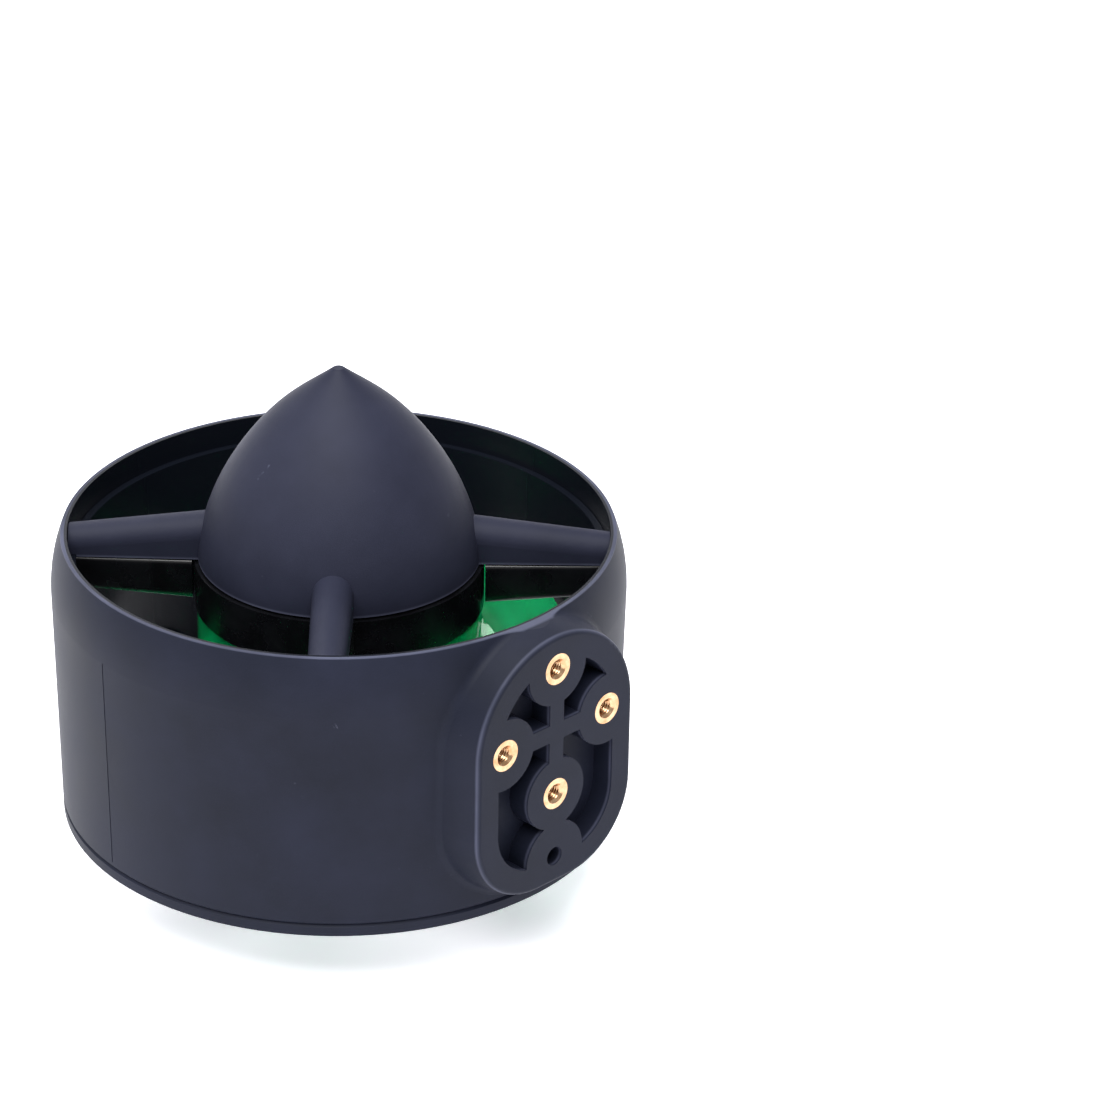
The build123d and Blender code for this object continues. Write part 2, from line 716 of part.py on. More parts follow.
def blade_section(distance):
    """Blade section across a radius: two shallow arcs with blunt edges, turned to the pitch."""
    share = (distance - propeller_hub_radius) / (blade_tip_radius - propeller_hub_radius)
    half_seen = blade_root_half + share * (blade_tip_half - blade_root_half)
    thickness = blade_root_thickness + share * (blade_tip_thickness - blade_root_thickness)
    slope = math.atan(blade_pitch / (2 * math.pi * distance))
    half = half_seen / math.cos(slope)
    edge = blade_edge_thickness / 2
    middle = thickness / 2
    place = Plane(origin=(distance, 0, 0), x_dir=(0, 1, 0), z_dir=(1, 0, 0))
    return place * Rot(0, 0, math.degrees(slope)) * make_face([
        ThreePointArc((-half, edge), (0, middle), (half, edge)),
        Line((half, edge), (half, -edge)),
        ThreePointArc((half, -edge), (0, -middle), (-half, -edge)),
        Line((-half, -edge), (-half, edge)),
    ])


def make_propeller():
    """Twisted blades on a sleeve, right-handed seen from the nose."""
    start = propeller_hub_radius - blade_root_sunk
    end = blade_tip_radius + blade_tip_thickness
    step = (end - start) / (blade_stations - 1)
    blade = loft([blade_section(start + k * step) for k in range(blade_stations)])
    middle = (propeller_rear + propeller_front) / 2 - blade_drop
    body = ring(propeller_hub_radius, propeller_bore, propeller_rear, propeller_front)
    room = ring(blade_tip_radius, propeller_bore, propeller_rear, propeller_front)
    for angle in spaced(blade_count, blade_phase):
        body += (Rot(0, 0, angle) * Pos(0, 0, middle) * blade) & room
    return body


def make_shaft_nut():
    """Hexagon nut that closes the rotor at the front of the shaft."""
    outline = RegularPolygon(nut_across_flats / 2, 6, major_radius=False)
    nut = extrude(Pos(0, 0, collar_top) * outline, nut_height)
    return nut - disc(shaft_radius, collar_top, collar_top + nut_height)


# Route of the lead from the gland to its coil, as distance out along the lead's direction,
# distance to the left of it and height. The last point is where it runs into the coil.
lead_route = [
    (gland_outer, 0.0, gland_height),
    (34.6, -0.3, 4.3),
    (39.8, -1.9, 2.5),
    (45.4, -4.9, 1.1),
    (51.2, -8.9, 1.1),
    (57.0, -12.4, 1.1),
    (63.5, -14.2, 1.1),
]

# Route of the lead's free end from the coil to the plug beside it
free_end_route = [
    (73.5, 10.0, 3.3),
    (70.3, 13.2, 2.8),
    (66.9, 16.3, 2.5),
    (63.3, 19.2, 2.6),
    (59.6, 21.9, 2.8),
]


def corner_radii(route):
    """Radius of the arc at each inner point: as large as its two runs allow."""
    radii = []
    for a, b, c in zip(route, route[1:], route[2:]):
        before = Vector(*b) - Vector(*a)
        after = Vector(*c) - Vector(*b)
        half_turn = math.radians(before.get_angle(after)) / 2
        radii.append(0.45 * min(before.length, after.length) / math.tan(half_turn))
    return radii


def lead_tube(route):
    """Round tube along straight runs joined by tangent arcs."""
    radii = corner_radii(route)
    path = FilletPolyline(*route, radius=radii)
    section = Plane(origin=route[0], z_dir=path % 0) * Circle(lead_radius)
    tube = sweep(section, path)
    exact = math.pi * lead_radius**2 * path.length
    print("  radii", [round(r, 1) for r in radii], "length", round(path.length, 1),
          "volume share", round(tube.volume / exact, 4))
    return LEAD_SIDE * tube


def make_coil():
    """The part of the lead that is wound up, as one plain ring on the floor."""
    body = ring(
        coil_middle_radius + coil_half_width, coil_middle_radius - coil_half_width, 0, coil_height
    )
    return LEAD_SIDE * Pos(coil_distance, 0, 0) * body


def make_coil_tie():
    """Flat band round the coil, pulled tight into its underside."""
    width = 2 * coil_half_width
    band = Box(width + 2 * tie_thickness, tie_width, coil_height + tie_thickness, align=FROM_BOTTOM)
    room = Box(width, tie_width, coil_height - tie_thickness, align=FROM_BOTTOM)
    band -= Pos(0, 0, tie_thickness) * room
    place = Pos(coil_distance, 0, 0) * polar(coil_middle_radius, tie_angle) * Rot(0, 0, tie_angle)
    return LEAD_SIDE * place * band


def plug_place():
    """Place of the plug's rear end, with its axis level and along the lead's last run."""
    x, y, z = free_end_route[-1]
    before = free_end_route[-2]
    heading = math.degrees(math.atan2(y - before[1], x - before[0]))
    return LEAD_SIDE * Pos(x, y, z) * Rot(0, 0, heading) * Rot(0, 90, 0)


def make_plug():
    """Moulded round plug: tapered boot, grip and an open shell round the pins."""
    shell_bore = plug_shell_radius - plug_shell_wall
    body = turned([
        (0, 0),
        (plug_boot_radius, 0),
        (plug_radius, plug_boot_length),
        (plug_radius, plug_grip_end),
        (plug_shell_radius, plug_grip_end),
        (plug_shell_radius, plug_length),
        (shell_bore, plug_length),
        (shell_bore, plug_grip_end),
        (0, plug_grip_end),
        (0, 0),
    ])
    return plug_place() * body


def make_plug_pins():
    """Contact pins that stand in the plug's shell."""
    pin = Cylinder(plug_pin_radius, plug_shell_length - plug_shell_wall, align=FROM_BOTTOM)
    return [
        plug_place() * polar(plug_pin_spacing_radius, angle, plug_grip_end) * pin
        for angle in spaced(plug_pin_count)
    ]


def group(solids):
    """Separate solids as one node."""
    return Compound(children=[s for part in solids for s in part.solids()])


pieces = {
    "duct_housing": make_duct(),
    "mount_inserts": group([make_insert(x, z) for x, z in insert_places()]),
    "rear_frame": make_rear_frame(),
    "post_screw": make_post_screw(),
    "tail_cap": make_tail_cap(),
    "tail_cap_screws": group([
        screw(
            polar(tail_screw_spacing_radius, angle, tail_screw_seat),
            tail_screw_radius,
            tail_screw_length,
            tail_screw_head_radius,
            tail_screw_head_height,
        )
        for angle in spaced(tail_screw_count, tail_screw_start)
    ]),
    "lead_gland": make_gland(),
    "front_guard": make_front_guard(),
    "motor_base": make_motor_base(),
    "motor_base_screws": group([
        screw(
            polar(base_screw_spacing_radius, angle, flange_rear),
            base_screw_radius,
            base_screw_length,
            base_screw_head_radius,
            base_screw_head_height,
        )
        for angle in spaced(base_screw_count, base_screw_start)
    ]),
    "front_bearing": make_bearing(bearing_tube_front - bearing_width),
    "rear_bearing": make_bearing(rear_boss_end),
    "stator_core": make_stator_core(),
    "stator_windings": group(make_windings()),
    "rotor_can": make_rotor_can(),
    "rotor_magnets": group(make_magnets()),
    "hub_collar": make_hub_collar(),
    "hub_collar_screws": group([
        screw(
            polar(collar_screw_spacing_radius, angle, collar_screw_seat) * Rot(180, 0, 0),
            collar_screw_radius,
            collar_screw_length,
            collar_screw_head_radius,
            collar_screw_head_height,
        )
        for angle in spaced(collar_screw_count)
    ]),
    "propeller": make_propeller(),
    "motor_shaft": disc(shaft_radius, shaft_rear, shaft_front),
    "shaft_nut": make_shaft_nut(),
    "shaft_collar": ring(
        shaft_collar_radius, shaft_radius, shaft_collar_front - shaft_collar_length, shaft_collar_front
    ),
    "thrust_washer": ring(washer_radius, shaft_radius, washer_rear, washer_rear + washer_thickness),
    "motor_lead": lead_tube(lead_route),
    "lead_coil": make_coil(),
    "coil_tie": make_coil_tie(),
    "lead_free_end": lead_tube(free_end_route),
    "lead_plug": make_plug(),
    "plug_pins": group(make_plug_pins()),
}

os.makedirs("parts", exist_ok=True)
for name, shape in pieces.items():
    export_step(shape, f"parts/{name}.step")
print(len(pieces), "nodes")
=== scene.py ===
import math

import bpy
import numpy as np
from mathutils import Matrix, Vector


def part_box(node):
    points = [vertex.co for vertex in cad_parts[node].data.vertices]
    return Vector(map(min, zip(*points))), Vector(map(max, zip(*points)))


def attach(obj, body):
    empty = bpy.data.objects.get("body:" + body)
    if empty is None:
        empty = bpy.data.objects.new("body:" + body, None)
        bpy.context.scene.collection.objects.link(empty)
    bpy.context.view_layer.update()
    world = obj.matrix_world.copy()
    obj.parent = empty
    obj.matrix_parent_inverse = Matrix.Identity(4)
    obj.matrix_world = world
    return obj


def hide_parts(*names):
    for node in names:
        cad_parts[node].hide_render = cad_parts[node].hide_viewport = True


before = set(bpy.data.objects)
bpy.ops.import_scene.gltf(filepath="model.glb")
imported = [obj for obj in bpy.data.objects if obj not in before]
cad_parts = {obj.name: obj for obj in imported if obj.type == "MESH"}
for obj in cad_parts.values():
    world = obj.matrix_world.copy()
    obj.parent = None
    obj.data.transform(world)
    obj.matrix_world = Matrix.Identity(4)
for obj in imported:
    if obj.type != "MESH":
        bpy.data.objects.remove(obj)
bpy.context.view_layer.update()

# Ducted underwater thruster standing nose up on its tail. Lengths in this script are millimetres
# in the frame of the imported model, and turn to metres where a mesh or curve is made. Only the floor
# and the lights are given in metres.
MM = 0.001
HOUSING = "housing"


# Camera, at the photograph's viewing angle

CAMERA_DISTANCE = 743.2  # from the centre of the duct's rear plane
CAMERA_RISE = 30.08  # degrees above that plane
CAMERA_SIDE = 42.12  # degrees from the foot's normal, towards -X
CAMERA_PITCH = 27.02  # degrees that it looks down
CAMERA_PAN = 3.0  # degrees that it looks to the right of the thrust axis
CAMERA_ROLL = 1.05  # degrees
CAMERA_LENS = 147.6
CAMERA_NEAR, CAMERA_FAR = 50.0, 20000.0  # between which it sees
SENSOR_WIDTH = 36.0
DUCT_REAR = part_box("duct_housing")[0][2] / MM


def add_camera():
    """Camera that frames the thruster as the photograph does, left of the middle."""
    rise, side = math.radians(CAMERA_RISE), math.radians(CAMERA_SIDE)
    out = CAMERA_DISTANCE * math.cos(rise)
    up = CAMERA_DISTANCE * math.sin(rise) + DUCT_REAR
    place = Vector((-out * math.sin(side), -out * math.cos(side), up))
    data = bpy.data.cameras.new("camera")
    data.lens = CAMERA_LENS
    data.sensor_width = SENSOR_WIDTH
    data.clip_start = CAMERA_NEAR * MM
    data.clip_end = CAMERA_FAR * MM
    camera = bpy.data.objects.new("camera", data)
    heading = Matrix.Rotation(math.radians(-CAMERA_SIDE - CAMERA_PAN), 4, "Z")
    tilt = Matrix.Rotation(math.radians(90.0 - CAMERA_PITCH), 4, "X")
    roll = Matrix.Rotation(math.radians(CAMERA_ROLL), 4, "Z")
    camera.matrix_world = Matrix.Translation(place * MM) @ heading @ tilt @ roll
    bpy.context.scene.collection.objects.link(camera)
    bpy.context.scene.camera = camera


# Materials. The photograph's plastic is charcoal with a blue cast.

# The duct's tones are the guard's made darker, as painted shade: both are one plastic, and the duct's
# face takes less light than the nose. The rear pieces take the same darker tones.
SHADED_DUCT_TONES = ("151823", "1D202E")
GUARD_TONES = ("1E202D", "282A39")
SCUFF = "5E6172"
SCUFF_START, SCUFF_FULL = 0.7, 0.8  # noise at which scuffs start and are at their palest
SCUFF_MOST = 0.5  # share of the scuffs' colour where they are palest
# Pale colour painted along edges as a highlight: the duct's front rim, the foot's rounded edge with its
# pockets' edges, and the lower edge of the nose and its struts.
EDGE_HIGHLIGHT_PAINT = "54576A"
POLISHED = "0E1118"
GRAIN_MM = 0.16  # the real grain is finer, and this is the finest that shows
GRAIN_DEPTH = 0.03
MATTE_ROUGHNESS = (0.46, 0.58)
POLISHED_ROUGHNESS = 0.24
FOOT_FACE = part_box("duct_housing")[0][1] / MM
RIM_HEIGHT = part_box("duct_housing")[1][2] / MM
RIM_HIGHLIGHT_DEPTH = 0.12  # how far down the rim the painted highlight reaches
RIM_RADIUS = 45.3  # past which the rim runs out over the foot, where it gets no painted highlight
RIM_FADE = 0.3
FOOT_EDGE = FOOT_FACE + 0.45  # middle of the round between the foot's face and its sides, where the painted highlight is palest
FOOT_EDGE_HALF = 0.4
INSIDE_RADIUS = 43.75  # the duct is polished within this distance of the thrust axis
SEAT_RADIUS = 41.9  # just inside the guard's seat ring
SEAT_TOP = 55.2  # just above that ring
GUARD_BOTTOM = 54.8  # lower edge of the nose, and the struts' flat underside
GUARD_EDGE = GUARD_BOTTOM + 0.1
GUARD_EDGE_HALF = 0.35
MASK_FADE = 0.06  # half the width over which a finish gives way to the next
FACTOR, NUMBER_A, NUMBER_B, COLOUR_A, COLOUR_B = 0, 2, 3, 6, 7  # inputs of a Mix node
NUMBER_OUT, COLOUR_OUT = 0, 2  # and its outputs


def linear(code):
    """Linear colour with full alpha from an sRGB hex code such as "3A3B4A"."""
    parts = [int(code[k:k + 2], 16) / 255.0 for k in (0, 2, 4)]
    return (*[c / 12.92 if c <= 0.04045 else ((c + 0.055) / 1.055) ** 2.4 for c in parts], 1.0)


def add_node(tree, kind, inputs=None, **properties):
    """Adds a shader node with its own properties. Inputs maps an input's name or number to what it
    gets: another node's output, which is linked, or a number, vector or colour, which is set."""
    node = tree.nodes.new(kind)
    for name, value in properties.items():
        setattr(node, name, value)
    for name, value in (inputs or {}).items():
        if isinstance(value, bpy.types.NodeSocket):
            tree.links.new(value, node.inputs[name])
        else:
            node.inputs[name].default_value = value
    return node


def new_material(name, **settings):
    """A material with a Principled shader, whose settings are given by socket name. Returns the
    material, its node tree and the shader."""
    material = bpy.data.materials.new(name)
    material.use_nodes = True
    tree = material.node_tree
    shader = tree.nodes["Principled BSDF"]
    for socket, value in settings.items():
        shader.inputs[socket.replace("_", " ")].default_value = value
    return material, tree, shader


def grain(tree, shader, grain_mm, depth_mm, strength):
    """Moulded, blasted or machined grain: bump from noise whose spacing is a real size. Returns the
    Object coordinates that the material's other patterns read too."""
    place = add_node(tree, "ShaderNodeTexCoord").outputs["Object"]
    noise = add_node(tree, "ShaderNodeTexNoise", {
        "Vector": place, "Scale": 1.0 / (grain_mm * MM), "Detail": 2.0, "Roughness": 0.6,
    })
    bump = add_node(tree, "ShaderNodeBump", {
        "Height": noise.outputs["Fac"], "Distance": depth_mm * MM, "Strength": strength,
    })
    tree.links.new(bump.outputs["Normal"], shader.inputs["Normal"])
    return place


def varied(tree, place, tones, spacing_mm, low, high):
    """Slow drift between a dark and a light tone, as handling and moulding leave: dark where the noise
    is under low, and light where it is over high. Returns the colour and the noise."""
    noise = add_node(tree, "ShaderNodeTexNoise", {
        "Vector": place, "Scale": 1.0 / (spacing_mm * MM), "Detail": 3.0, "Roughness": 0.55,
    })
    ramp = add_node(tree, "ShaderNodeValToRGB", {"Fac": noise.outputs["Fac"]})
    for stop, position, tone in zip(ramp.color_ramp.elements, (low, high), tones):
        stop.position = position
        stop.color = linear(tone)
    return ramp.outputs["Color"], noise.outputs["Fac"]


def spread_roughness(tree, shader, factor, smooth, rough):
    """Roughness that follows a factor between two values."""
    span = add_node(tree, "ShaderNodeMapRange", {"Value": factor, "To Min": smooth, "To Max": rough})
    tree.links.new(span.outputs["Result"], shader.inputs["Roughness"])


def rising_mask(tree, value, zero_mm, one_mm):
    """A mask that changes evenly from 0 where a distance is zero_mm to 1 where it is one_mm."""
    return add_node(tree, "ShaderNodeMapRange", {
        "Value": value, "From Min": zero_mm * MM, "From Max": one_mm * MM,
    }).outputs["Result"]


def band_mask(tree, value, middle_mm, half_mm):
    """A mask that is 1 where a distance is middle_mm, and fades evenly to 0 within half_mm of it."""
    offset = add_node(tree, "ShaderNodeMath", {0: value, 1: middle_mm * MM}, operation="SUBTRACT")
    away = add_node(tree, "ShaderNodeMath", {0: offset.outputs["Value"]}, operation="ABSOLUTE")
    return rising_mask(tree, away.outputs["Value"], half_mm, 0.0)


def axis_distance(tree, place):
    """Distance from the thrust axis, height, and place along Y."""
    flat = add_node(tree, "ShaderNodeVectorMath", {0: place, 1: (1.0, 1.0, 0.0)}, operation="MULTIPLY")
    length = add_node(tree, "ShaderNodeVectorMath", {0: flat.outputs["Vector"]}, operation="LENGTH")
    split = add_node(tree, "ShaderNodeSeparateXYZ", {"Vector": place})
    return length.outputs["Value"], split.outputs["Z"], split.outputs["Y"]


def scuffed(tree, place, colour, spacing_mm):
    """Sparse pale scuffs and specks over a colour, as handling leaves on soft-touch plastic."""
    noise = add_node(tree, "ShaderNodeTexNoise", {
        "Vector": place, "Scale": 1.0 / (spacing_mm * MM),
        "Detail": 5.0, "Roughness": 0.7, "Distortion": 0.4,
    })
    share = add_node(tree, "ShaderNodeMapRange", {
        "Value": noise.outputs["Fac"],
        "From Min": SCUFF_START, "From Max": SCUFF_FULL, "To Max": SCUFF_MOST,
    })
    mix = add_node(tree, "ShaderNodeMix", data_type="RGBA", inputs={
        FACTOR: share.outputs["Result"], COLOUR_A: colour, COLOUR_B: linear(SCUFF),
    })
    return mix.outputs[COLOUR_OUT]


def two_finish_moulding(name, tones, polished_where, highlight_where):
    """Charcoal thermoplastic moulding with a blue cast: soft-touch matte outside, where a fine grain
    kills sharp reflections, and polished almost black where the mould's core was polished. Edges get
    a painted highlight, a paler colour in place of light catching them. Both places are masks built
    from the distance to the thrust axis, the height and Y."""
    material, tree, shader = new_material(name, IOR=1.3, Specular_IOR_Level=0.24)
    place = add_node(tree, "ShaderNodeTexCoord").outputs["Object"]
    where = axis_distance(tree, place)
    polished = polished_where(tree, *where)
    colour, drift = varied(tree, place, tones, spacing_mm=17.0, low=0.28, high=0.75)
    colour = scuffed(tree, place, colour, spacing_mm=2.8)
    # Painted highlight on the edges, broken up by the tone's drift.
    painted_highlight = highlight_where(tree, *where)
    highlight_share = add_node(tree, "ShaderNodeMath", {0: painted_highlight, 1: drift}, operation="MULTIPLY")
    edge = add_node(tree, "ShaderNodeMix", data_type="RGBA", inputs={
        FACTOR: highlight_share.outputs["Value"], COLOUR_A: colour, COLOUR_B: linear(EDGE_HIGHLIGHT_PAINT),
    })
    skin = add_node(tree, "ShaderNodeMix", data_type="RGBA", inputs={
        FACTOR: polished, COLOUR_A: edge.outputs[COLOUR_OUT], COLOUR_B: linear(POLISHED),
    })
    tree.links.new(skin.outputs[COLOUR_OUT], shader.inputs["Base Color"])
    smooth, rough = MATTE_ROUGHNESS
    matte = add_node(tree, "ShaderNodeMapRange", {"Value": drift, "To Min": smooth, "To Max": rough})
    gloss = add_node(tree, "ShaderNodeMix", data_type="FLOAT", inputs={
        FACTOR: polished, NUMBER_A: matte.outputs["Result"], NUMBER_B: POLISHED_ROUGHNESS,
    })
    tree.links.new(gloss.outputs[NUMBER_OUT], shader.inputs["Roughness"])
    fine = add_node(tree, "ShaderNodeTexNoise", {
        "Vector": place, "Scale": 1.0 / (GRAIN_MM * MM), "Detail": 2.0, "Roughness": 0.6,
    })
    grainy = add_node(tree, "ShaderNodeMath", {0: 1.0, 1: polished}, operation="SUBTRACT")
    relief = add_node(tree, "ShaderNodeMath", operation="MULTIPLY", inputs={
        0: fine.outputs["Fac"], 1: grainy.outputs["Value"],
    })
    bump = add_node(tree, "ShaderNodeBump", {
        "Height": relief.outputs["Value"], "Distance": GRAIN_DEPTH * MM, "Strength": 0.6,
    })
    tree.links.new(bump.outputs["Normal"], shader.inputs["Normal"])
    return material


def inside_duct(tree, distance, height, y):
    """The duct is polished inside, up to its front and rear edges."""
    return rising_mask(tree, distance, INSIDE_RADIUS + MASK_FADE, INSIDE_RADIUS - MASK_FADE)


def seat_ring(tree, distance, height, y):
    """The guard is polished only on the ring that seats in the duct, under the struts' ends."""
    outside = rising_mask(tree, distance, SEAT_RADIUS - MASK_FADE, SEAT_RADIUS + MASK_FADE)
    below = rising_mask(tree, height, SEAT_TOP + MASK_FADE, SEAT_TOP - MASK_FADE)
    ring = add_node(tree, "ShaderNodeMath", {0: outside, 1: below}, operation="MULTIPLY")
    return ring.outputs["Value"]


def nowhere(tree, distance, height, y):
    """A mask that is 0 all over."""
    return 0.0


def rim_and_foot_edge(tree, distance, height, y):
    """Where the duct gets its painted highlight: the front rim, and the rounded edge of the foot's face
    with the edges of its pockets.
    """
    top = RIM_HEIGHT - RIM_HIGHLIGHT_DEPTH
    high = rising_mask(tree, height, top - MASK_FADE, top + MASK_FADE)
    off_foot = rising_mask(tree, distance, RIM_RADIUS + RIM_FADE, RIM_RADIUS - RIM_FADE)
    rim = add_node(tree, "ShaderNodeMath", {0: high, 1: off_foot}, operation="MULTIPLY")
    both = add_node(tree, "ShaderNodeMath", operation="MAXIMUM", inputs={
        0: rim.outputs["Value"], 1: band_mask(tree, y, FOOT_EDGE, FOOT_EDGE_HALF),
    })
    return both.outputs["Value"]


def nose_edge(tree, distance, height, y):
    """Painted highlight along the lower edge of the nose and of its struts."""
    return band_mask(tree, height, GUARD_EDGE, GUARD_EDGE_HALF)


def plain_finish(name, tones, bump, drift, roughness, **settings):
    """A finish with no masks: settings of the shader, bump as (grain in mm, depth in mm, strength),
    drift between two tones as (spacing in mm, low, high), and a range of roughness."""
    material, tree, shader = new_material(name, **settings)
    place = grain(tree, shader, *bump)
    colour, noise = varied(tree, place, tones, *drift)
    tree.links.new(colour, shader.inputs["Base Color"])
    spread_roughness(tree, shader, noise, *roughness)
    return material


def glossy_moulding(name):
    """Polished black plastic: tight highlights, with faint ripples from the mould."""
    return plain_finish(
        name, ("050507", "0C0D10"), bump=(2.6, 0.03, 0.2), drift=(6.0, 0.35, 0.7),
        roughness=(0.2, 0.34), IOR=1.5,
    )


def clear_green(name):
    """Translucent emerald polycarbonate: light goes through the thin blades and brightens them,
    and thick places turn deep green."""
    return plain_finish(
        name, ("00B868", "20F09C"), bump=(4.5, 0.05, 0.12), drift=(9.0, 0.3, 0.75),
        roughness=(0.06, 0.14), IOR=1.45, Transmission_Weight=0.72, Coat_Weight=0.3,
        Coat_Roughness=0.04,
    )


def turned_brass(name):
    """Free-cutting brass, machined: warm metal with fine uneven tool marks."""
    return plain_finish(
        name, ("B98B62", "DDBB96"), bump=(0.22, 0.02, 0.35), drift=(1.4, 0.3, 0.75),
        roughness=(0.16, 0.28), Metallic=1.0,
    )


def machined_metal(name, tones, roughness):
    """Bare, plated or enamelled metal with fine machining scratches, which break up its reflections."""
    return plain_finish(
        name, tones, bump=(0.3, 0.015, 0.35), drift=(2.5, 0.3, 0.75),
        roughness=roughness, Metallic=1.0,
    )


def dull_polymer(name, tones):
    """Silicone rubber or acetal: dull, with a slight sheen from handling."""
    return plain_finish(
        name, tones, bump=(0.35, 0.02, 0.4), drift=(7.0, 0.3, 0.7),
        roughness=(0.42, 0.56), IOR=1.43, Sheen_Weight=0.08,
    )


def dress_nodes():
    """Gives every carried-over node the material of the real piece."""
    # The duct and the rear pieces use the darker tones, which are painted shade; the guard uses the
    # plastic's own tones.
    duct = two_finish_moulding("charcoal_abs_duct", SHADED_DUCT_TONES, inside_duct, rim_and_foot_edge)
    guard = two_finish_moulding("charcoal_abs_guard", GUARD_TONES, seat_ring, nose_edge)
    rear = two_finish_moulding("charcoal_abs_rear", SHADED_DUCT_TONES, nowhere, nowhere)
    looks = {
        duct: ["duct_housing"],
        guard: ["front_guard"],
        rear: ["rear_frame", "tail_cap"],
        glossy_moulding("polished_black_abs"): ["hub_collar", "coil_tie"],
        clear_green("emerald_polycarbonate"): ["propeller"],
        turned_brass("turned_brass"): ["mount_inserts", "plug_pins"],
        machined_metal("stainless_steel", ("8C8D90", "C2C3C6"), (0.22, 0.36)): [
            "post_screw", "tail_cap_screws", "motor_base_screws", "hub_collar_screws",
            "motor_shaft", "shaft_nut", "shaft_collar", "front_bearing", "rear_bearing",
        ],
        machined_metal("plated_steel_can", ("505258", "7A7C83"), (0.3, 0.45)): [
            "rotor_can", "stator_core",
        ],
        machined_metal("nickel_plated_magnet", ("6B6C70", "9FA0A4"), (0.25, 0.4)): ["rotor_magnets"],
        machined_metal("machined_aluminium", ("9A9CA0", "C9CACD"), (0.28, 0.42)): ["motor_base"],
        machined_metal("enamelled_copper_wire", ("8A3F1C", "C96F38"), (0.3, 0.4)): ["stator_windings"],
        dull_polymer("black_silicone_rubber", ("0C0C0E", "19191C")): ["lead_gland"],
        dull_polymer("overmoulded_plug", ("101013", "1E1E22")): ["lead_plug"],
        dull_polymer("white_acetal", ("B9B8B2", "DAD9D4")): ["thrust_washer"],
    }
    for material, names in looks.items():
        for name in names:
            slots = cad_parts[name].data.materials
            slots.clear()
            slots.append(material)


# New pieces as meshes

SHARP_ANGLE = 38.0  # an edge that turns more than this stays crisp


def new_piece(name, points, faces, material, body):
    """Mesh object from an array of points in millimetres and a list of faces. It rides on a body."""
    mesh = bpy.data.meshes.new(name)
    mesh.from_pydata((points * MM).tolist(), [], faces)
    mesh.polygons.foreach_set("use_smooth", [True] * len(faces))
    mesh.set_sharp_from_angle(angle=math.radians(SHARP_ANGLE))
    mesh.materials.append(material)
    mesh.update()
    piece = bpy.data.objects.new(name, mesh)
    bpy.context.scene.collection.objects.link(piece)
    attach(piece, body)
    return piece


def joined_copies(copies, faces):
    """One mesh's points and faces from the points of several copies of a form and the form's faces."""
    count = len(copies[0])
    all_faces = [[corner + k * count for corner in face] for k in range(len(copies)) for face in faces]
    return np.concatenate(copies), all_faces


# Glossy arms under the guard's struts

STRUT_COUNT = 4
STRUT_START = 45.0  # degrees about the thrust axis
ARM_GAP = 0.2  # from the collar, which turns
ARM_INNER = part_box("hub_collar")[1][0] / MM + ARM_GAP
ARM_OUTER = 41.95  # at the duct's inner wall
ARM_TOP = GUARD_BOTTOM
ARM_BOTTOM_INNER = 47.7
ARM_BOTTOM_OUTER = 49.2
ARM_WIDTH_INNER = 6.8
ARM_WIDTH_OUTER = 5.8
ARM_BOXINESS = 7.0  # exponent of the section's superellipse
ARM_STATIONS = 5
ARM_SIDES = 48


def arm_rings():
    """Sections of one arm along the radius. Each is a superellipse: half the width times the signed
    power 2 / boxiness of the cosine, and half the height times that of the sine, and width and
    bottom change in a straight line from the inner end to the outer one."""
    share = np.linspace(0.0, 1.0, ARM_STATIONS)[:, None]
    turn = np.arange(ARM_SIDES)[None, :] * 2 * math.pi / ARM_SIDES
    power = 2 / ARM_BOXINESS
    across = np.sign(np.cos(turn)) * np.abs(np.cos(turn)) ** power
    upward = np.sign(np.sin(turn)) * np.abs(np.sin(turn)) ** power
    half_width = (ARM_WIDTH_INNER + share * (ARM_WIDTH_OUTER - ARM_WIDTH_INNER)) / 2
    bottom = ARM_BOTTOM_INNER + share * (ARM_BOTTOM_OUTER - ARM_BOTTOM_INNER)
    x = ARM_INNER + share * (ARM_OUTER - ARM_INNER) + 0 * turn
    y = half_width * across
    z = (ARM_TOP + bottom) / 2 + (ARM_TOP - bottom) / 2 * upward
    return np.stack([x, y, z], axis=2)


def capped_faces(rings, around):
    """Quads between neighbouring rings, and one many-sided face over each end."""
    faces = []
    for ring in range(rings - 1):
        here, there = ring * around, (ring + 1) * around
        for k in range(around):
            beside = (k + 1) % around
            faces.append((here + k, here + beside, there + beside, there + k))
    faces.append(tuple(range(around - 1, -1, -1)))
    faces.append(tuple((rings - 1) * around + k for k in range(around)))
    return faces


def add_arms(material):
    """Four arms of the duct's black inner part, one under each strut of the guard."""
    arm = arm_rings().reshape(-1, 3)
    arms = []
    for k in range(STRUT_COUNT):
        turn = math.radians(STRUT_START + 360.0 * k / STRUT_COUNT)
        arms.append(arm @ np.array([
            [math.cos(turn), math.sin(turn), 0.0],
            [-math.sin(turn), math.cos(turn), 0.0],
            [0.0, 0.0, 1.0],
        ]))
    points, faces = joined_copies(arms, capped_faces(ARM_STATIONS, ARM_SIDES))
    piece = new_piece("front_arms", points, faces, material, HOUSING)


# Brass inserts of the mounting foot

INSERT_RADIUS = 2.6
INSERT_LENGTH = 5.0
INSERT_BORE = 1.25  # core of the M3 thread
INSERT_LEAD_IN = 0.45
INSERT_SPACING = 11.0  # from the middle of the four
INSERT_SIDES = 96
THREAD_PITCH = 0.5
THREAD_DEPTH = 0.2
KNURL_COUNT = 28
KNURL_DEPTH = 0.12
KNURL_SLANT = 2.0  # radians that the diamonds' edges turn in each millimetre
SECTION_STEPS = (20, 3, 56, 3, 4)  # of the grid, on each straight stretch of the section


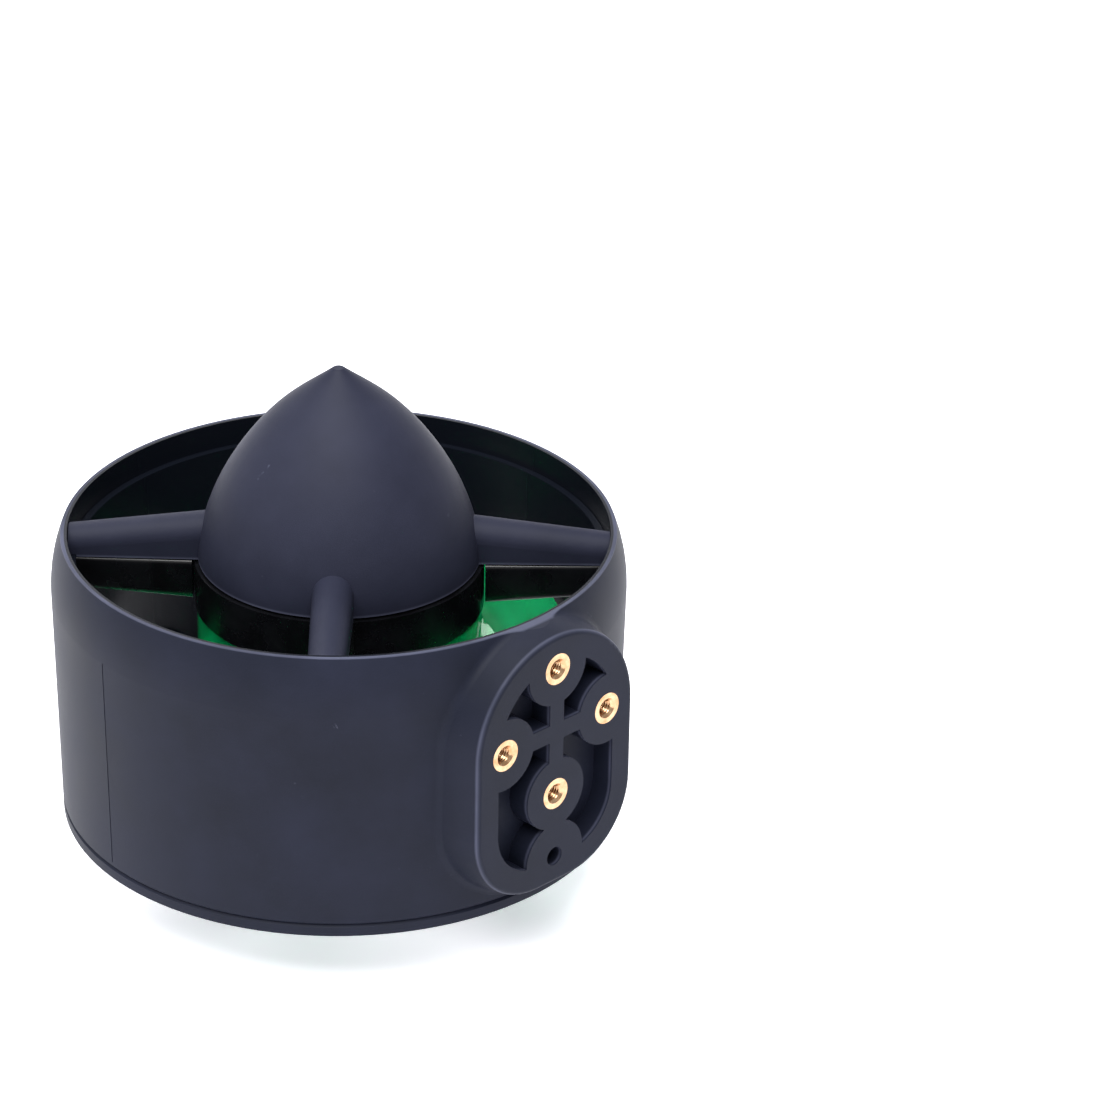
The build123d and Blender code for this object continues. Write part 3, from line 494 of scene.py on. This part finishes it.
def insert_grid():
    """Radius and depth of one insert over (angle, place along the closed outline of its section).
    The outline runs down the outside, in across the rear end, up the bore and out across the face.
    The bore's radius grows by a triangle wave of depth over pitch less the share of a turn, which is
    the thread, and the outside shrinks between diamonds, where two sets of slanting sines cross."""
    corners = np.array([
        (INSERT_RADIUS, 0.0),
        (INSERT_RADIUS, INSERT_LENGTH),
        (INSERT_BORE, INSERT_LENGTH),
        (INSERT_BORE, INSERT_LEAD_IN),
        (INSERT_BORE + INSERT_LEAD_IN, 0.0),
        (INSERT_RADIUS, 0.0),
    ])
    shares = np.concatenate([k + np.arange(n) / n for k, n in enumerate(SECTION_STEPS)])
    radius = np.interp(shares, np.arange(len(corners)), corners[:, 0])
    depth = np.interp(shares, np.arange(len(corners)), corners[:, 1])
    angle = np.arange(INSERT_SIDES) * 2 * math.pi / INSERT_SIDES
    turn, place = np.meshgrid(angle, np.arange(len(shares)), indexing="ij")
    r, d, s = radius[place], depth[place], shares[place]
    wave = np.abs(((d / THREAD_PITCH - turn / (2 * math.pi)) % 1.0) * 2 - 1)
    r = r + np.where((s > 2) & (s < 3), THREAD_DEPTH * wave, 0.0)
    half_turns, slant = KNURL_COUNT * turn / 2, KNURL_SLANT * d
    ridges = np.abs(np.sin(half_turns + slant)) * np.abs(np.sin(half_turns - slant))
    r = r - np.where((s > 0) & (s < 1), KNURL_DEPTH * (1 - ridges), 0.0)
    return r, d, turn


def closed_grid_faces(rows, columns):
    """Quads of a grid that closes on itself both ways."""
    row, column = np.meshgrid(np.arange(rows), np.arange(columns), indexing="ij")
    below, beside = (row + 1) % rows, (column + 1) % columns
    corners = [(row, column), (row, beside), (below, beside), (below, column)]
    return np.stack([(r * columns + c).ravel() for r, c in corners], axis=1).tolist()


def add_inserts(material):
    """Four knurled inserts with a real thread, one mesh."""
    low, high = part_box("mount_inserts")
    face, middle = low[1] / MM, (low[2] + high[2]) / 2 / MM
    r, d, turn = insert_grid()
    one = np.stack([r * np.cos(turn), face + d, r * np.sin(turn)], axis=2).reshape(-1, 3)
    out = INSERT_SPACING
    places = [(0, 0, middle + out), (out, 0, middle), (0, 0, middle - out), (-out, 0, middle)]
    copies = [one + np.array(place) for place in places]
    points, faces = joined_copies(copies, closed_grid_faces(*r.shape))
    piece = new_piece("threaded_inserts", points, faces, material, HOUSING)
    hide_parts("mount_inserts")


# Lead

LEAD_DIAMETER = 2.2
LEAD_ANGLE = 45.0  # direction about the thrust axis in which the lead leaves the tail
LEAD_ROUTE = [
    (30.0, 0.0, 5.0),
    (34.6, -0.3, 4.3),
    (39.8, -1.9, 2.5),
    (45.4, -4.9, 1.1),
    (51.2, -8.9, 1.1),
    (57.0, -12.4, 1.1),
]
FREE_END_ROUTE = [
    (70.3, 13.2, 2.8),
    (66.9, 16.3, 2.5),
    (63.3, 19.2, 2.6),
    (59.6, 21.9, 2.8),
]
COIL_DISTANCE = 63.5
COIL_RADII = (14.2, 12.0, 9.8)  # of the turns in one layer
COIL_START = -90.0  # degrees about the coil's middle where the lead runs in
COIL_TURNS = 5.375
COIL_CLIMB = (2.6, 3.1)  # turns between which the lead climbs onto its first layer
POINTS_PER_TURN = 16


def coil_points():
    """Points of the wound length: three turns inwards on the floor, then outwards on top of them. The
    angle grows evenly, and the radius changes to the next in a straight line over half a turn."""
    count = int(COIL_TURNS * POINTS_PER_TURN)
    turns = np.arange(count + 1) / POINTS_PER_TURN
    angles = np.radians(COIL_START + 360.0 * turns)
    outer, middle, inner = COIL_RADII
    knots = [0.0, 0.75, 1.25, 1.75, 2.25, 2.75, 3.25, 3.75, 4.25, 4.75, COIL_TURNS]
    radii = [outer, outer, middle, middle, inner, inner, inner, middle, middle, outer, outer]
    radius = np.interp(turns, knots, radii)
    low, high = LEAD_DIAMETER / 2, LEAD_DIAMETER * 1.5
    heights = np.interp(turns, COIL_CLIMB, [low, high])
    return [
        (COIL_DISTANCE + r * math.cos(a), r * math.sin(a), z)
        for r, a, z in zip(radius, angles, heights)
    ]


def from_lead_side(point):
    """Turns a point of the lead's route, given out along the lead's direction, into the frame."""
    turn = math.radians(LEAD_ANGLE)
    x, y, z = point
    return Vector((
        x * math.cos(turn) - y * math.sin(turn),
        x * math.sin(turn) + y * math.cos(turn),
        z,
    )) * MM


def add_lead(material):
    """The lead as one smooth line from the gland, through its coil, to the plug."""
    points = [from_lead_side(p) for p in [*LEAD_ROUTE, *coil_points(), *FREE_END_ROUTE]]
    data = bpy.data.curves.new("lead", "CURVE")
    data.dimensions = "3D"
    data.bevel_depth = LEAD_DIAMETER / 2 * MM
    data.bevel_resolution = 6
    data.resolution_u = 4
    data.use_fill_caps = True
    line = data.splines.new("NURBS")
    line.points.add(len(points) - 1)
    for target, point in zip(line.points, points):
        target.co = (*point, 1.0)
    line.order_u = 3
    line.use_endpoint_u = True
    lead = bpy.data.objects.new("lead", data)
    bpy.context.scene.collection.objects.link(lead)
    data.materials.append(material)
    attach(lead, HOUSING)
    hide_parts("motor_lead", "lead_coil", "lead_free_end")


# Floor and light, in metres

FLOOR_HALF = 1.6
SWEEP_RADIUS = 0.5
SWEEP_RISE = 1.8
SWEEP_STEPS = 24
FLOOR_GLOW = 0.5  # the photograph's floor is burnt out to white
TENT_GLOW = 0.5
LIGHT_AIM = 0.045  # height of the thruster's middle
LIGHTS = [  # name, azimuth and elevation in degrees, distance, size, watts
    ("roof_light", -60.0, 72.0, 1.1, 1.1, 27.0),
    ("side_light", -125.0, 30.0, 1.3, 0.6, 3.0),
    ("back_light", 160.0, 40.0, 1.3, 0.6, 3.0),
]


def add_floor():
    """Pale seamless floor that runs up behind in a quarter circle, as a paper sweep does."""
    turn = np.linspace(0.0, math.pi / 2, SWEEP_STEPS)
    end = FLOOR_HALF + SWEEP_RADIUS
    along = np.concatenate([[-FLOOR_HALF], FLOOR_HALF + SWEEP_RADIUS * np.sin(turn), [end]])
    up = np.concatenate([[0.0], SWEEP_RADIUS * (1 - np.cos(turn)), [SWEEP_RISE]])
    side = math.radians(CAMERA_SIDE)
    back = np.array([math.sin(side), math.cos(side), 0.0])
    right = np.array([math.cos(side), -math.sin(side), 0.0]) * 2 * FLOOR_HALF
    rows = [a * back + np.array([0, 0, z]) for a, z in zip(along, up)]
    points = np.array([[row - right, row + right] for row in rows]).reshape(-1, 3)
    faces = [(2 * k, 2 * k + 1, 2 * k + 3, 2 * k + 2) for k in range(len(rows) - 1)]
    mesh = bpy.data.meshes.new("floor")
    mesh.from_pydata(points.tolist(), [], faces)
    mesh.polygons.foreach_set("use_smooth", [True] * len(faces))
    floor = bpy.data.objects.new("floor", mesh)
    bpy.context.scene.collection.objects.link(floor)
    material, _, _ = new_material(
        "white_paper", Base_Color=linear("F6F6FA"), Roughness=0.5, IOR=1.4,
        Emission_Color=linear("F8F8FF"), Emission_Strength=FLOOR_GLOW,
    )
    mesh.materials.append(material)


def add_light(name, azimuth, elevation, distance, size, watts):
    """Square soft light aimed at the thruster's middle. Azimuth 0 is on the foot's side, and a
    positive one is towards +X."""
    a, e = math.radians(azimuth), math.radians(elevation)
    place = Vector((math.cos(e) * math.sin(a), -math.cos(e) * math.cos(a), math.sin(e))) * distance
    data = bpy.data.lights.new(name, "AREA")
    data.shape = "SQUARE"
    data.size = size
    data.energy = watts
    light = bpy.data.objects.new(name, data)
    facing = place.to_track_quat("Z", "Y").to_matrix().to_4x4()
    light.matrix_world = Matrix.Translation(place + Vector((0, 0, LIGHT_AIM))) @ facing
    bpy.context.scene.collection.objects.link(light)


def add_world():
    """White surroundings, which the plastic and the metal mirror."""
    world = bpy.data.worlds.new("white_tent")
    bpy.context.scene.world = world
    world.use_nodes = True
    background = world.node_tree.nodes["Background"]
    background.inputs["Color"].default_value = linear("FFFFFF")
    background.inputs["Strength"].default_value = TENT_GLOW


add_camera()
add_arms(glossy_moulding("polished_black_arms"))
add_inserts(turned_brass("turned_insert_brass"))
add_lead(dull_polymer("lead_silicone_rubber", ("0B0B0D", "18181B")))
dress_nodes()
add_floor()
add_world()
for light in LIGHTS:
    add_light(*light)
bpy.context.scene.view_settings.view_transform = "Standard"
